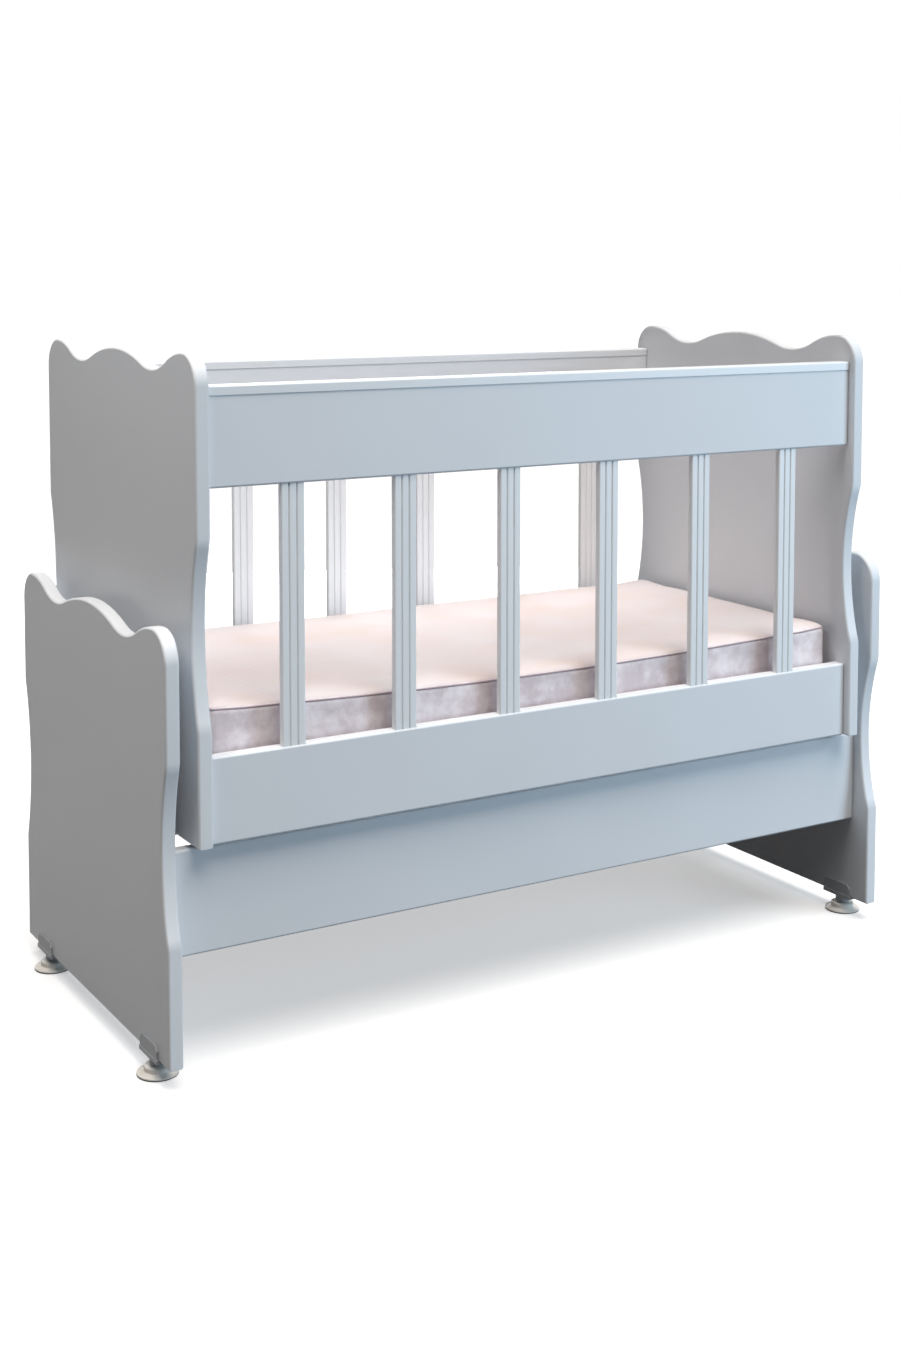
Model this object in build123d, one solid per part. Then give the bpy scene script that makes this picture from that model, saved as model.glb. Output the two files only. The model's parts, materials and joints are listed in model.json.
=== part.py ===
from build123d import *
import math
import os

# Bedside cradle: a slatted cradle that hangs on four links between the end boards of a low stand.
# Lengths are in millimetres. The origin is on the floor under the middle of the cradle, X runs
# along its length, the front is towards -Y and Z points up.

# Boards
BOARD = 18.0
BOARD_BEVEL = 2.0
PANEL_WIDTH = 500.0
FIT = 0.1

# Top edge of an end board: outer crests, valleys and the crown between them
CORNER_RADIUS = 37.0
CREST_RADIUS = 110.0
VALLEY_INSET = 131.0
VALLEY_DROP = 23.0
CROWN_DROP = 2.5
WAIST_DEPTH = 17.0

# Cradle
CRADLE_LENGTH = 996.0
CRADLE_END_HEIGHT = 561.5
CRADLE_WAIST_START = 132.0
CRADLE_WAIST_LENGTH = 222.0
RAIL_INSET = 10.0
TOP_RAIL_DROP = 36.5
TOP_RAIL_HEIGHT = 116.5
BOTTOM_RAIL_HEIGHT = 102.0
CAP_WALL = 1.0
CAP_LEG = 11.5

# Slats
SLATS_PER_SIDE = 6
SLAT_END_GAP = 107.5
SLAT_WIDTH = 30.0
SLAT_THICKNESS = 9.0
SLAT_SETBACK = 2.0
REEDS = 3
SLAT_BEVEL = 1.2
GROOVE_DEPTH = 1.6
GROOVE_WIDTH = 2.4
TENON = 10.0
MORTISE_GAP = 0.4

# Stand
STAND_END_HEIGHT = 500.0
STAND_WAIST_START = 138.0
STAND_WAIST_LENGTH = 214.0
STRETCHER_INSET = 30.0
STRETCHER_RISE = 117.0
STRETCHER_HEIGHT = 125.0
CRADLE_CLEARANCE = 6.0

# Bed
MATTRESS_GAP = 5.0
MATTRESS_HEIGHT = 100.0
MATTRESS_SAG = 12.0
MATTRESS_REAR_SAG = 1.0
MATTRESS_BEVEL = 6.0
MATTRESS_RISE = 56.0
BASE_SLATS = 10
BASE_SLAT_WIDTH = 50.0
BASE_SLAT_THICKNESS = 10.0
BASE_GAP = 1.0
BATTEN_WIDTH = 30.0
BATTEN_THICKNESS = 12.0
BATTEN_INSET = 40.0
CLEAT = 20.0
CLEAT_END_GAP = 30.0

# Knock-down fittings in the rail ends: a dowel above the middle and a cam bolt below it
FACETS = 8
FITTING_SPACING = 64.0
DOWEL_RADIUS = 4.0
DOWEL_LENGTH = 30.0
DOWEL_IN_PANEL = 12.0
BOLT_RADIUS = 3.0
BOLT_THREAD_LENGTH = 11.0
BOLT_HEAD_RADIUS = 3.5
BOLT_HEAD_LENGTH = 7.0
CAM_RADIUS = 7.5
CAM_DEPTH = 13.0
CAM_SETBACK = 34.0
BORE_SPARE = 1.0

# Swing gear, in the gap between the stand's end boards and the cradle's
PLATE_WIDTH = 36.0
PLATE_HEIGHT = 68.0
PLATE_THICKNESS = 3.0
PLATE_CORNER = 8.0
COLLAR_RADIUS = 6.0
COLLAR_LENGTH = 4.0
BEARING_BORE_RADIUS = 4.0
BEARING_OUTER_RADIUS = 11.0
BEARING_WIDTH = 7.0
BEARING_SIDES = 16
STUD_CLEARANCE = 0.05
NUT_ACROSS_FLATS = 13.0
NUT_HEIGHT = 4.0
NUT_CLEARANCE = 3.0
LINK_LENGTH = 100.0
LINK_EYE_RADIUS = 16.0
LINK_SIDES = 24
PIVOT_INSET = 100.0
LOWER_PIVOT_RISE = 57.0

# Levelling feet, round parts of which are drawn with flat sides
FOOT_SIDES = 24
FOOT_FRONT_INSET = 58.0
FOOT_REAR_INSET = 72.0
FOOT_DISC_RADIUS = 24.5
FOOT_RIM = 3.0
FOOT_DISH = 2.0
FOOT_HUB_RADIUS = 16.0
FOOT_HUB_HEIGHT = 6.7
FOOT_STOP_GAP = 0.3
STEM_RADIUS = 4.0
STEM_LENGTH = 32.0
STEM_CLEARANCE = 0.05
CLIP_LENGTH = 52.0
CLIP_WALL = 2.5
CLIP_BASE = 3.0
CLIP_RISE = 18.0
CLIP_CORNER = 6.0
CLIP_LIP = 0.8
CLIP_LIP_HEIGHT = 5.0
BOSS_RADIUS = 9.5
BOSS_HEIGHT = 10.0

# Places worked out from the sizes above
SWING_GAP = PLATE_THICKNESS + COLLAR_LENGTH + BEARING_WIDTH + NUT_HEIGHT + NUT_CLEARANCE
CRADLE_INNER_X = CRADLE_LENGTH / 2 - BOARD
STAND_INNER_X = CRADLE_LENGTH / 2 + SWING_GAP
STAND_BOTTOM = FOOT_RIM + FOOT_DISH + FOOT_HUB_HEIGHT + FOOT_STOP_GAP + BOSS_HEIGHT + CLIP_BASE
STRETCHER_BOTTOM = STAND_BOTTOM + STRETCHER_RISE
STRETCHER_Y = PANEL_WIDTH / 2 - STRETCHER_INSET - BOARD / 2
CRADLE_BOTTOM = STRETCHER_BOTTOM + STRETCHER_HEIGHT + CRADLE_CLEARANCE
RAIL_Y = PANEL_WIDTH / 2 - RAIL_INSET - BOARD / 2
TOP_RAIL_TOP = CRADLE_BOTTOM + CRADLE_END_HEIGHT - TOP_RAIL_DROP
TOP_RAIL_BOTTOM = TOP_RAIL_TOP - TOP_RAIL_HEIGHT
TOP_BOARD_HEIGHT = TOP_RAIL_HEIGHT - CAP_WALL - FIT
BOTTOM_RAIL_TOP = CRADLE_BOTTOM + BOTTOM_RAIL_HEIGHT
SLAT_PITCH = 2 * (CRADLE_INNER_X - SLAT_END_GAP) / (SLATS_PER_SIDE - 1)
MATTRESS_BOTTOM = CRADLE_BOTTOM + MATTRESS_RISE
MATTRESS_LENGTH = 2 * (CRADLE_INNER_X - MATTRESS_GAP)
CLEAT_TOP = MATTRESS_BOTTOM - BASE_SLAT_THICKNESS
RAIL_INNER_Y = RAIL_Y - BOARD / 2
MATTRESS_WIDTH = 2 * (RAIL_INNER_Y - MATTRESS_GAP)
PIVOT_Y = PANEL_WIDTH / 2 - PIVOT_INSET
STUD_RADIUS = BEARING_BORE_RADIUS - STUD_CLEARANCE
LOWER_PIVOT_Z = CRADLE_BOTTOM + LOWER_PIVOT_RISE
UPPER_PIVOT_Z = LOWER_PIVOT_Z + LINK_LENGTH
LINK_START = PLATE_THICKNESS + COLLAR_LENGTH

ENDS = {-1: "left", 1: "right"}
SIDES = {-1: "front", 1: "rear"}

parts = {}


def rod(radius, length, start, direction):
    """Round bar from a point along a direction."""
    return Solid.make_cylinder(radius, length, Plane(origin=start, z_dir=direction))


def block(length, width, height, centre_x, centre_y, bottom):
    """Box centred in X and Y that stands on a given height."""
    box = Box(length, width, height, align=(Align.CENTER, Align.CENTER, Align.MIN))
    return Pos(centre_x, centre_y, bottom) * box


# End boards


def level_to_level(start, end, start_radius):
    """Two tangent arcs that join two points at which the edge runs level."""
    across = abs(end[0] - start[0])
    climb = abs(end[1] - start[1])
    both_radii = (across**2 + climb**2) / (2 * climb)
    share = start_radius / both_radii
    turn = tuple(a + share * (b - a) for a, b in zip(start, end))
    first = TangentArc(start, turn, tangent=(-1, 0))
    TangentArc(turn, end, tangent=first % 1)
    return both_radii - start_radius


def end_board(height, waist_start, waist_length):
    """End board standing on Z = 0 with its left face on X = 0."""
    half = PANEL_WIDTH / 2
    waist_top = waist_start + waist_length
    waist = (half - WAIST_DEPTH, waist_start + waist_length / 2)
    shoulder = (half, height - CORNER_RADIUS)
    crest = (half - CORNER_RADIUS, height)
    valley = (half - VALLEY_INSET, height - VALLEY_DROP)
    crown = (0, height - CROWN_DROP)
    with BuildPart() as board:
        with BuildSketch(Plane.YZ):
            with BuildLine():
                Line((0, 0), (half, 0))
                Line((half, 0), (half, waist_start))
                ThreePointArc((half, waist_start), waist, (half, waist_top))
                Line((half, waist_top), shoulder)
                TangentArc(shoulder, crest, tangent=(0, 1))
                valley_radius = level_to_level(crest, valley, CREST_RADIUS)
                level_to_level(valley, crown, valley_radius)
                mirror(about=Plane.YZ)
            make_face()
        extrude(amount=BOARD)
    outline = board.edges().filter_by(Axis.X, reverse=True)
    return chamfer(outline, BOARD_BEVEL)


# Rails and slats


def rail(length, height, side, centre_y, bottom):
    """Board on edge with every edge broken."""
    board = block(length, BOARD, height, 0, side * centre_y, bottom)
    return chamfer(board.edges(), BOARD_BEVEL)


def rail_cap(side):
    """Thin cover that clips over the top edge of a top rail."""
    length = 2 * (CRADLE_INNER_X - BOARD_BEVEL)
    inner_width = BOARD + 2 * FIT
    inner_top = TOP_RAIL_TOP - CAP_WALL
    bottom = TOP_RAIL_TOP - CAP_LEG
    outer = block(length, inner_width + 2 * CAP_WALL, CAP_LEG, 0, side * RAIL_Y, bottom)
    inner = block(length, inner_width, inner_top - bottom, 0, side * RAIL_Y, bottom)
    outer_edges = outer.edges().filter_by(Axis.X).sort_by(Axis.Z)[-2:]
    inner_edges = inner.edges().filter_by(Axis.X).sort_by(Axis.Z)[-2:]
    return chamfer(outer_edges, BOARD_BEVEL) - chamfer(inner_edges, BOARD_BEVEL - FIT)


def slat_section():
    """Cross section of a slat, with vee grooves that part both faces into reeds."""
    section = Rectangle(SLAT_WIDTH, SLAT_THICKNESS)
    section = chamfer(section.vertices(), SLAT_BEVEL)
    for face in (-1, 1):
        crest = face * SLAT_THICKNESS / 2
        for index in range(1, REEDS):
            x = index * SLAT_WIDTH / REEDS - SLAT_WIDTH / 2
            half = GROOVE_WIDTH / 2
            points = [(x - half, crest), (x, crest - face * GROOVE_DEPTH), (x + half, crest)]
            section -= make_face(Polyline(*points, close=True))
    return section


def slat_places(side):
    """Centres of the slats on one side, from left to right."""
    y = side * (RAIL_Y + BOARD / 2 - SLAT_SETBACK - SLAT_THICKNESS / 2)
    middle = (SLATS_PER_SIDE - 1) / 2
    return [((index - middle) * SLAT_PITCH, y) for index in range(SLATS_PER_SIDE)]


def mortises(side, bottom, depth):
    """Slots for the ends of one side's slats."""
    width = SLAT_WIDTH + 2 * MORTISE_GAP
    thickness = SLAT_THICKNESS + 2 * MORTISE_GAP
    return [block(width, thickness, depth, x, y, bottom) for x, y in slat_places(side)]


# Small hidden fittings are drawn with a few flat sides


def facet_bar(radius, length, start, direction, sides=FACETS):
    """Straight bar with flat sides, from a point along a direction."""
    section = RegularPolygon(radius, sides)
    return extrude(Plane(origin=start, z_dir=direction) * section, length)


# Fittings that join a rail to an end board


def cam_bolt(start, end):
    """Bolt screwed into the end board, whose head stands in the rail."""
    x, y, z = start
    inward = (-end, 0, 0)
    thread_start = (x + end * BOLT_THREAD_LENGTH, y, z)
    shank_length = CAM_SETBACK + BOLT_HEAD_RADIUS - BOLT_HEAD_LENGTH
    bolt = facet_bar(BOLT_RADIUS, BOLT_THREAD_LENGTH + shank_length, thread_start, inward)
    return bolt + facet_bar(BOLT_HEAD_RADIUS, BOLT_HEAD_LENGTH, (x - end * shank_length, y, z), inward)


def cam_lock(start, end, side):
    """Lock let into the rail's inner face, with a pocket that draws the bolt's head in."""
    x, y, z = start
    centre_x = x - end * CAM_SETBACK
    lock = facet_bar(CAM_RADIUS, CAM_DEPTH, (centre_x, y - side * BOARD / 2, z), (0, side, 0))
    pocket_start = (centre_x + end * CAM_RADIUS, y, z)
    pocket_length = CAM_RADIUS + BOLT_HEAD_RADIUS + FIT
    return lock - facet_bar(BOLT_HEAD_RADIUS + FIT, pocket_length, pocket_start, (-end, 0, 0))


def join(prefix, rail_name, face_x, rail_y, middle_z):
    """Bores the ends of a front and a rear rail and the end boards; returns the fittings."""
    fittings = {"cam_bolts": [], "cam_locks": [], "dowels": []}
    for end, end_name in ENDS.items():
        for side, side_name in SIDES.items():
            board = f"{prefix}_end_{end_name}"
            rail_node = f"{rail_name}_{side_name}"
            outward, inward = (end, 0, 0), (-end, 0, 0)
            bolt_z = middle_z - FITTING_SPACING / 2
            face = (end * face_x, side * rail_y, bolt_z)
            fittings["cam_bolts"].append(cam_bolt(face, end))
            fittings["cam_locks"].append(cam_lock(face, end, side))
            bolt_bore = BOLT_THREAD_LENGTH + BORE_SPARE
            parts[board] -= facet_bar(BOLT_RADIUS + FIT, bolt_bore, face, outward)
            parts[rail_node] -= facet_bar(BOLT_HEAD_RADIUS + FIT, CAM_SETBACK, face, inward)
            cam_start = (end * (face_x - CAM_SETBACK), side * (rail_y - BOARD / 2), bolt_z)
            parts[rail_node] -= facet_bar(CAM_RADIUS + FIT, CAM_DEPTH, cam_start, (0, side, 0))
            dowel_x, dowel_z = face_x + DOWEL_IN_PANEL, middle_z + FITTING_SPACING / 2
            dowel_start = (end * dowel_x, side * rail_y, dowel_z)
            fittings["dowels"].append(facet_bar(DOWEL_RADIUS, DOWEL_LENGTH, dowel_start, inward))
            bore_start = (end * (dowel_x + BORE_SPARE), side * rail_y, dowel_z)
            bore_length = DOWEL_LENGTH + 2 * BORE_SPARE
            bore = facet_bar(DOWEL_RADIUS + FIT, bore_length, bore_start, inward)
            parts[board] -= bore
            parts[rail_node] -= bore
    return fittings


# Swing gear


def pivot_plate(x, y, z, away):
    """Plate on a board's face, with a collar and a stud that stand away from the board."""
    direction = (away, 0, 0)
    outline = Rectangle(PLATE_HEIGHT, PLATE_WIDTH)
    outline = chamfer(outline.vertices(), PLATE_CORNER)
    plane = Plane(origin=(x, y, z), x_dir=(0, 0, 1), z_dir=direction)
    plate = extrude(plane * outline, PLATE_THICKNESS)
    collar_start = (x + away * PLATE_THICKNESS, y, z)
    plate += facet_bar(COLLAR_RADIUS, COLLAR_LENGTH, collar_start, direction)
    stud_start = (x + away * LINK_START, y, z)
    return plate + rod(STUD_RADIUS, BEARING_WIDTH + NUT_HEIGHT, stud_start, direction)


def lock_nut(x, y, z, away):
    """Thin hexagon nut that holds the bearing on its stud."""
    start = x + away * (LINK_START + BEARING_WIDTH)
    outline = RegularPolygon(NUT_ACROSS_FLATS / 2, 6, major_radius=False)
    outline -= RegularPolygon(STUD_RADIUS + FIT, FACETS, major_radius=False)
    return extrude(Plane(origin=(start, y, z), z_dir=(away, 0, 0)) * outline, NUT_HEIGHT)


def pivot_set(prefix, z, face_x, away):
    """Four pivot plates and their nuts; away is +1 where the studs point outwards."""
    plates, nuts = [], []
    for end in ENDS:
        for side in SIDES:
            x, y = end * face_x, side * PIVOT_Y
            plates.append(pivot_plate(x, y, z, end * away))
            nuts.append(lock_nut(x, y, z, end * away))
    parts[f"{prefix}_pivot_plates"] = Compound(children=plates)
    parts[f"{prefix}_pivot_nuts"] = Compound(children=nuts)


def bearing_outline():
    """Outside of a bearing, which the link's eye grips, with few sides as nothing turns on it."""
    return RegularPolygon(BEARING_OUTER_RADIUS, BEARING_SIDES)


def hanger_link(end, side):
    """Flat link with round ends and an eye at each end."""
    start = (end * (STAND_INNER_X - LINK_START), side * PIVOT_Y, LOWER_PIVOT_Z)
    plane = Plane(origin=start, x_dir=(0, 0, 1), z_dir=(-end, 0, 0))
    outline = Pos(LINK_LENGTH / 2, 0) * Rectangle(LINK_LENGTH, 2 * LINK_EYE_RADIUS)
    outline += [Pos(x, 0) * RegularPolygon(LINK_EYE_RADIUS, LINK_SIDES) for x in (0, LINK_LENGTH)]
    outline -= [Pos(x, 0) * bearing_outline() for x in (0, LINK_LENGTH)]
    return extrude(plane * outline, BEARING_WIDTH)


def bearings(side):
    """Ball bearings in both eyes of the two links on one side."""
    ring = bearing_outline() - Circle(BEARING_BORE_RADIUS)
    rings = []
    for end in ENDS:
        x = end * (STAND_INNER_X - LINK_START)
        for z in (LOWER_PIVOT_Z, UPPER_PIVOT_Z):
            place = (x, side * PIVOT_Y, z)
            plane = Plane(origin=place, x_dir=(0, 0, 1), z_dir=(-end, 0, 0))
            rings.append(extrude(plane * ring, BEARING_WIDTH))
    return Compound(children=rings)


# Feet


def foot_place(end, side):
    """Centre of a foot on the bottom edge of a stand end board."""
    inset = FOOT_FRONT_INSET if side < 0 else FOOT_REAR_INSET
    return end * (STAND_INNER_X + BOARD / 2), side * (PANEL_WIDTH / 2 - inset)


def foot_clip(x, y):
    """Moulded clip that straddles the board's bottom edge, with a boss for the foot's stem."""
    width = BOARD + 2 * (FIT + CLIP_WALL)
    height = CLIP_BASE + CLIP_RISE
    bottom = STAND_BOTTOM - CLIP_BASE
    body = block(width, CLIP_LENGTH, height, x, y, bottom)
    body = chamfer(body.edges().filter_by(Axis.X).group_by(Axis.Z)[-1], CLIP_CORNER)
    body += block(width + 2 * CLIP_LIP, CLIP_LENGTH + 2 * CLIP_LIP, CLIP_LIP_HEIGHT, x, y, bottom)
    body -= block(BOARD + 2 * FIT, 2 * CLIP_LENGTH, height, x, y, STAND_BOTTOM)
    boss_foot = (x, y, bottom - BOSS_HEIGHT)
    body += facet_bar(BOSS_RADIUS, BOSS_HEIGHT, boss_foot, (0, 0, 1), FOOT_SIDES)
    bore = RegularPolygon(STEM_RADIUS + STEM_CLEARANCE, FOOT_SIDES, major_radius=False)
    return body - extrude(Pos(*boss_foot) * bore, BOSS_HEIGHT + CLIP_BASE)


def levelling_foot(x, y):
    """Wide dished disc, raised hub and stem in one moulded piece."""
    dish_top = FOOT_RIM + FOOT_DISH
    stem_foot = dish_top + FOOT_HUB_HEIGHT
    foot = facet_bar(FOOT_DISC_RADIUS, FOOT_RIM, (x, y, 0), (0, 0, 1), FOOT_SIDES)
    slope = math.degrees(math.atan2(FOOT_DISC_RADIUS - FOOT_HUB_RADIUS, FOOT_DISH))
    dish_foot = Pos(x, y, FOOT_RIM) * RegularPolygon(FOOT_DISC_RADIUS, FOOT_SIDES)
    foot += extrude(dish_foot, FOOT_DISH, taper=slope)
    foot += facet_bar(FOOT_HUB_RADIUS, FOOT_HUB_HEIGHT, (x, y, dish_top), (0, 0, 1), FOOT_SIDES)
    return foot + facet_bar(STEM_RADIUS, STEM_LENGTH, (x, y, stem_foot), (0, 0, 1), FOOT_SIDES)


# Mattress and what carries it


def mattress_section(y, sag):
    """Section along the mattress, whose top edge dips in the middle."""
    half = MATTRESS_LENGTH / 2
    middle = (0, MATTRESS_HEIGHT - sag)
    with BuildSketch(Plane(origin=(0, y, MATTRESS_BOTTOM), x_dir=(1, 0, 0), z_dir=(0, -1, 0))) as section:
        with BuildLine():
            Line((-half, 0), (half, 0))
            Line((half, 0), (half, MATTRESS_HEIGHT))
            ThreePointArc((half, MATTRESS_HEIGHT), middle, (-half, MATTRESS_HEIGHT))
            Line((-half, MATTRESS_HEIGHT), (-half, 0))
        make_face()
    return section.sketch


def mattress():
    """Firm mattress whose front edge has gone soft in the middle of its length."""
    half = MATTRESS_WIDTH / 2
    ends = [mattress_section(-half, MATTRESS_SAG), mattress_section(half, MATTRESS_REAR_SAG)]
    return chamfer(loft(ends, ruled=True).edges(), MATTRESS_BEVEL)


def base_slats():
    """Slats across the cradle that carry the mattress."""
    width = 2 * (RAIL_INNER_Y - BASE_GAP)
    pitch = (MATTRESS_LENGTH - BASE_SLAT_WIDTH) / (BASE_SLATS - 1)
    slats = []
    for index in range(BASE_SLATS):
        x = index * pitch - (MATTRESS_LENGTH - BASE_SLAT_WIDTH) / 2
        slats.append(block(BASE_SLAT_WIDTH, width, BASE_SLAT_THICKNESS, x, 0, CLEAT_TOP))
    return Compound(children=slats)


def base_battens():
    """Two battens under the slats that hold them together."""
    y = RAIL_INNER_Y - CLEAT - BATTEN_INSET
    bottom = CLEAT_TOP - BATTEN_THICKNESS
    size = (MATTRESS_LENGTH, BATTEN_WIDTH, BATTEN_THICKNESS)
    return Compound(children=[block(*size, 0, side * y, bottom) for side in SIDES])


# Assembly of the boards

for end, end_name in ENDS.items():
    cradle_end = end_board(CRADLE_END_HEIGHT, CRADLE_WAIST_START, CRADLE_WAIST_LENGTH)
    stand_end = end_board(STAND_END_HEIGHT, STAND_WAIST_START, STAND_WAIST_LENGTH)
    cradle_x = CRADLE_INNER_X if end > 0 else -CRADLE_INNER_X - BOARD
    stand_x = STAND_INNER_X if end > 0 else -STAND_INNER_X - BOARD
    parts[f"cradle_end_{end_name}"] = Pos(cradle_x, 0, CRADLE_BOTTOM) * cradle_end
    parts[f"stand_end_{end_name}"] = Pos(stand_x, 0, STAND_BOTTOM) * stand_end

for side, side_name in SIDES.items():
    stretcher = rail(2 * STAND_INNER_X, STRETCHER_HEIGHT, side, STRETCHER_Y, STRETCHER_BOTTOM)
    top_rail = rail(2 * CRADLE_INNER_X, TOP_BOARD_HEIGHT, side, RAIL_Y, TOP_RAIL_BOTTOM)
    bottom_rail = rail(2 * CRADLE_INNER_X, BOTTOM_RAIL_HEIGHT, side, RAIL_Y, CRADLE_BOTTOM)
    top_rail -= mortises(side, TOP_RAIL_BOTTOM, TENON + MORTISE_GAP)
    bottom_rail -= mortises(side, BOTTOM_RAIL_TOP - TENON, TENON)
    parts[f"stretcher_{side_name}"] = stretcher
    parts[f"top_rail_{side_name}"] = top_rail
    parts[f"bottom_rail_{side_name}"] = bottom_rail
    parts[f"rail_cap_{side_name}"] = rail_cap(side)
    slat_length = TOP_RAIL_BOTTOM - BOTTOM_RAIL_TOP + 2 * TENON
    for number, (x, y) in enumerate(slat_places(side), start=1):
        slat = extrude(slat_section(), slat_length)
        parts[f"slat_{side_name}_{number}"] = Pos(x, y, BOTTOM_RAIL_TOP - TENON) * slat

stretcher_middle = STRETCHER_BOTTOM + STRETCHER_HEIGHT / 2
top_middle = TOP_RAIL_BOTTOM + TOP_BOARD_HEIGHT / 2
bottom_middle = CRADLE_BOTTOM + BOTTOM_RAIL_HEIGHT / 2
stand_fittings = join("stand", "stretcher", STAND_INNER_X, STRETCHER_Y, stretcher_middle)
top_fittings = join("cradle", "top_rail", CRADLE_INNER_X, RAIL_Y, top_middle)
bottom_fittings = join("cradle", "bottom_rail", CRADLE_INNER_X, RAIL_Y, bottom_middle)
for kind in stand_fittings:
    parts[f"stand_{kind}"] = Compound(children=stand_fittings[kind])
    parts[f"cradle_{kind}"] = Compound(children=top_fittings[kind] + bottom_fittings[kind])

# Assembly of the swing gear

pivot_set("stand", UPPER_PIVOT_Z, STAND_INNER_X, -1)
pivot_set("cradle", LOWER_PIVOT_Z, CRADLE_LENGTH / 2, 1)
for side, side_name in SIDES.items():
    parts[f"bearings_{side_name}"] = bearings(side)
    for end, end_name in ENDS.items():
        parts[f"hanger_link_{side_name}_{end_name}"] = hanger_link(end, side)

# Assembly of the bed

parts["mattress"] = mattress()
parts["base_slats"] = base_slats()
parts["base_battens"] = base_battens()
for side, side_name in SIDES.items():
    cleat_length = 2 * (CRADLE_INNER_X - CLEAT_END_GAP)
    cleat_y = side * (RAIL_INNER_Y - CLEAT / 2)
    parts[f"cleat_{side_name}"] = block(cleat_length, CLEAT, CLEAT, 0, cleat_y, CLEAT_TOP - CLEAT)

# Assembly of the feet

for end, end_name in ENDS.items():
    for side, side_name in SIDES.items():
        x, y = foot_place(end, side)
        parts[f"foot_clip_{side_name}_{end_name}"] = foot_clip(x, y)
        parts[f"levelling_foot_{side_name}_{end_name}"] = levelling_foot(x, y)
        stem_room = FOOT_RIM + FOOT_DISH + FOOT_HUB_HEIGHT + STEM_LENGTH + BORE_SPARE - STAND_BOTTOM
        stem_bore = facet_bar(STEM_RADIUS + BORE_SPARE, stem_room, (x, y, STAND_BOTTOM), (0, 0, 1))
        parts[f"stand_end_{end_name}"] -= stem_bore

os.makedirs("parts", exist_ok=True)
for name, part in parts.items():
    export_step(part, f"parts/{name}.step")
print(len(parts), "nodes")
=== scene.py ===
"""Bedside cradle: rounded boards, reeded slats, a piped mattress, swing gear and levelling feet."""

import json
import math

import bmesh
import bpy
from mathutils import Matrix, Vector, noise
from mathutils.bvhtree import BVHTree

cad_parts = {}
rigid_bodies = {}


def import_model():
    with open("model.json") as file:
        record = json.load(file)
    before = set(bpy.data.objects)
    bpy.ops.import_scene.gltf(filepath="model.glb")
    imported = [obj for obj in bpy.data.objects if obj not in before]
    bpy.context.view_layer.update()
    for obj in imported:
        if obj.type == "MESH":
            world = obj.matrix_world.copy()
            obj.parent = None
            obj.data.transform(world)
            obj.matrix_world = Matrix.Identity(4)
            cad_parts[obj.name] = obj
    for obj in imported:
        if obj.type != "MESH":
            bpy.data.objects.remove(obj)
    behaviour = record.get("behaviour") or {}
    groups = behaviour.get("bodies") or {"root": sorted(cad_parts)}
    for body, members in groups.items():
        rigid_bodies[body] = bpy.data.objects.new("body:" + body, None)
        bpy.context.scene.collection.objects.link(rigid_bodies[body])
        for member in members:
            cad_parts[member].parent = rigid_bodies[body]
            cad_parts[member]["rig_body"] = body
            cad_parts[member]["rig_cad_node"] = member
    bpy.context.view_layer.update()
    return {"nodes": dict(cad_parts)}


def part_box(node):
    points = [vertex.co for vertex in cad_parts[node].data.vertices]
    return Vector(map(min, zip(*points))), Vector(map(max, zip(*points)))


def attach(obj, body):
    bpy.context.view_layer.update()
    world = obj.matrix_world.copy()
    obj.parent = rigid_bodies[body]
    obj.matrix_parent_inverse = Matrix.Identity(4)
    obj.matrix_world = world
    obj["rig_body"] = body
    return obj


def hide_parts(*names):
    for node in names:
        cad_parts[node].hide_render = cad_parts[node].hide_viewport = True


bl_info = {
    "name": "Bedside cradle",
    "version": (1, 0, 0),
    "blender": (4, 5, 0),
    "location": "View3D > Sidebar > Cradle",
    "description": "Builds the boards, slats, mattress, swing gear and feet of a bedside cradle",
    "category": "Object",
}

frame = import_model()
NODES = frame["nodes"]
MM = 0.001
ENDS = {"left": -1, "right": 1}
SIDES = {"front": -1, "rear": 1}


def linear(colour):
    """Linear red, green and blue of an sRGB hex colour."""
    channels = [int(colour[i : i + 2], 16) / 255 for i in (0, 2, 4)]
    return [c / 12.92 if c <= 0.04045 else ((c + 0.055) / 1.055) ** 2.4 for c in channels]


def length(name, millimetres, description):
    """Property for a length."""
    return bpy.props.FloatProperty(
        name=name, description=description, default=millimetres * MM, min=0, unit="LENGTH"
    )


def colour(name, value, description):
    """Property for a colour."""
    return bpy.props.FloatVectorProperty(
        name=name, description=description, default=linear(value), min=0, max=1, subtype="COLOR"
    )


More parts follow.
